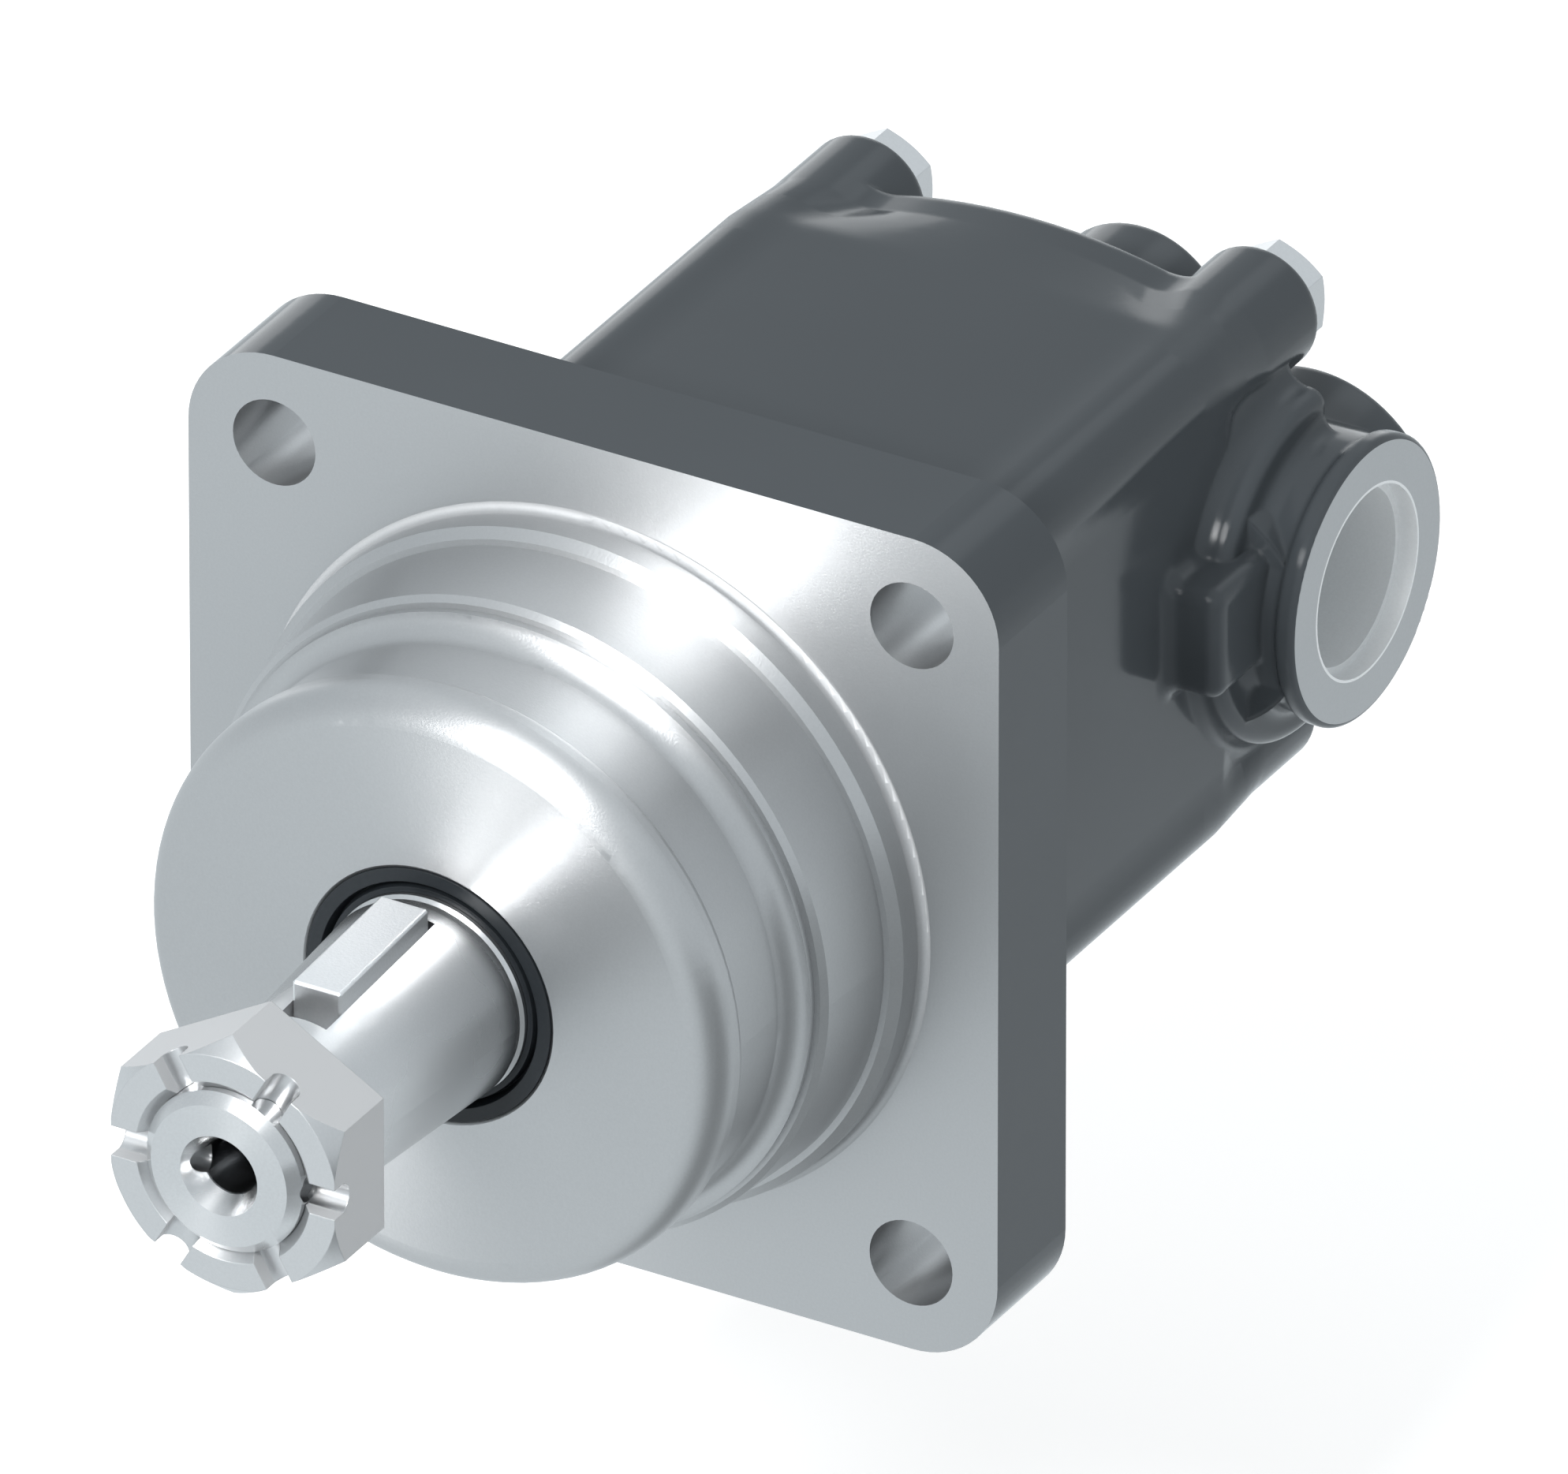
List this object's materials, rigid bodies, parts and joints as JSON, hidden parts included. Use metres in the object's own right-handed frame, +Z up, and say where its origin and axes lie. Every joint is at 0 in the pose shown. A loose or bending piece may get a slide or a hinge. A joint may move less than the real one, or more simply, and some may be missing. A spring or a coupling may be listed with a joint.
{
  "type": "orbital hydraulic motor",
  "caption": "Orbital hydraulic motor with a square bolt-on flange, turned pilot and nose, tapered keyed shaft with a slotted nut, a roller rotor set and two side ports.",
  "frame": {"origin": "where the shaft axis meets the front face of the flange", "axes": "+Y from the flange to the rear along the shaft axis, +X towards the right port, +Z up; the shaft points to -Y"},
  "size_m": [0.1326, 0.2525, 0.1326],
  "materials": {
    "machined_iron": "fine turned",
    "dark_paint": "satin",
    "dark_screws": "satin",
    "black_rubber": "matt",
    "seal_rubber": "satin",
    "ground_steel": "ground",
    "plain_steel": "satin",
    "shaft_steel": "turned",
    "cage_steel": "pressed"
  },
  "bodies": {
    "housing": {"front_housing": "machined_iron", "rear_housing": "dark_paint", "cap_screws": "dark_screws", "drain_plug": "dark_screws", "housing_oring": "black_rubber", "drain_plug_oring": "black_rubber", "shaft_seal": "seal_rubber", "seal_garter_spring": "ground_steel", "seal_backup_washer": "ground_steel", "front_bearing_cup": "ground_steel", "rear_bearing_cup": "ground_steel", "bearing_spacer_ring": "plain_steel", "wear_plate": "plain_steel", "stator_ring": "plain_steel", "manifold_plate": "plain_steel", "commutator_ring": "plain_steel", "end_plate": "plain_steel", "plate_spring": "plain_steel", "stack_dowels": "ground_steel"},
    "output": {"output_shaft": "shaft_steel", "shaft_key": "shaft_steel", "slotted_nut": "plain_steel", "front_bearing_cone": "ground_steel", "rear_bearing_cone": "ground_steel", "shaft_retaining_ring": "plain_steel"},
    "front_cage": {"front_bearing_rollers": "ground_steel", "front_bearing_cage": "cage_steel"},
    "rear_cage": {"rear_bearing_rollers": "ground_steel", "rear_bearing_cage": "cage_steel"},
    "orbit": {"commutator": "plain_steel", "commutator_seal": "seal_rubber"},
    "rotor": {"rotor": "shaft_steel"},
    "link": {"drive_link": "plain_steel"},
    "roller_1": {"roller_1": "ground_steel"},
    "roller_2": {"roller_2": "ground_steel"},
    "roller_3": {"roller_3": "ground_steel"},
    "roller_4": {"roller_4": "ground_steel"},
    "roller_5": {"roller_5": "ground_steel"},
    "roller_6": {"roller_6": "ground_steel"},
    "roller_7": {"roller_7": "ground_steel"}
  },
  "joints": [
    {"name": "shaft_spin", "type": "hinge", "parent": "housing", "child": "output", "pos_m": [0, 0, 0], "axis": [0, 1, 0], "continuous": true},
    {"name": "front_cage_spin", "type": "hinge", "parent": "housing", "child": "front_cage", "pos_m": [0, -0.025, 0], "axis": [0, 1, 0], "continuous": true},
    {"name": "rear_cage_spin", "type": "hinge", "parent": "housing", "child": "rear_cage", "pos_m": [0, 0.008, 0], "axis": [0, 1, 0], "continuous": true},
    {"name": "commutator_orbit", "type": "hinge", "parent": "housing", "child": "orbit", "pos_m": [0, 0, 0], "axis": [0, 1, 0], "continuous": true},
    {"name": "rotor_spin", "type": "hinge", "parent": "orbit", "child": "rotor", "pos_m": [0, 0.0475, -0.0022], "axis": [0, 1, 0], "continuous": true},
    {"name": "link_spin", "type": "hinge", "parent": "orbit", "child": "link", "pos_m": [0, 0.006, 0], "axis": [0, 0.9986, -0.0529], "continuous": true},
    {"name": "roller_1_spin", "type": "hinge", "parent": "housing", "child": "roller_1", "pos_m": [0, 0.0475, -0.0265], "axis": [0, 1, 0], "continuous": true},
    {"name": "roller_2_spin", "type": "hinge", "parent": "housing", "child": "roller_2", "pos_m": [0.02072, 0.0475, -0.01652], "axis": [0, 1, 0], "continuous": true},
    {"name": "roller_3_spin", "type": "hinge", "parent": "housing", "child": "roller_3", "pos_m": [0.02584, 0.0475, 0.0059], "axis": [0, 1, 0], "continuous": true},
    {"name": "roller_4_spin", "type": "hinge", "parent": "housing", "child": "roller_4", "pos_m": [0.0115, 0.0475, 0.02388], "axis": [0, 1, 0], "continuous": true},
    {"name": "roller_5_spin", "type": "hinge", "parent": "housing", "child": "roller_5", "pos_m": [-0.0115, 0.0475, 0.02388], "axis": [0, 1, 0], "continuous": true},
    {"name": "roller_6_spin", "type": "hinge", "parent": "housing", "child": "roller_6", "pos_m": [-0.02584, 0.0475, 0.0059], "axis": [0, 1, 0], "continuous": true},
    {"name": "roller_7_spin", "type": "hinge", "parent": "housing", "child": "roller_7", "pos_m": [-0.02072, 0.0475, -0.01652], "axis": [0, 1, 0], "continuous": true}
  ],
  "couplings": [
    {"joint": "front_cage_spin", "follows": "shaft_spin", "ratio": 0.427},
    {"joint": "rear_cage_spin", "follows": "shaft_spin", "ratio": 0.449},
    {"joint": "commutator_orbit", "follows": "shaft_spin", "ratio": -6},
    {"joint": "rotor_spin", "follows": "shaft_spin", "ratio": 7},
    {"joint": "link_spin", "follows": "shaft_spin", "ratio": 7}
  ]
}
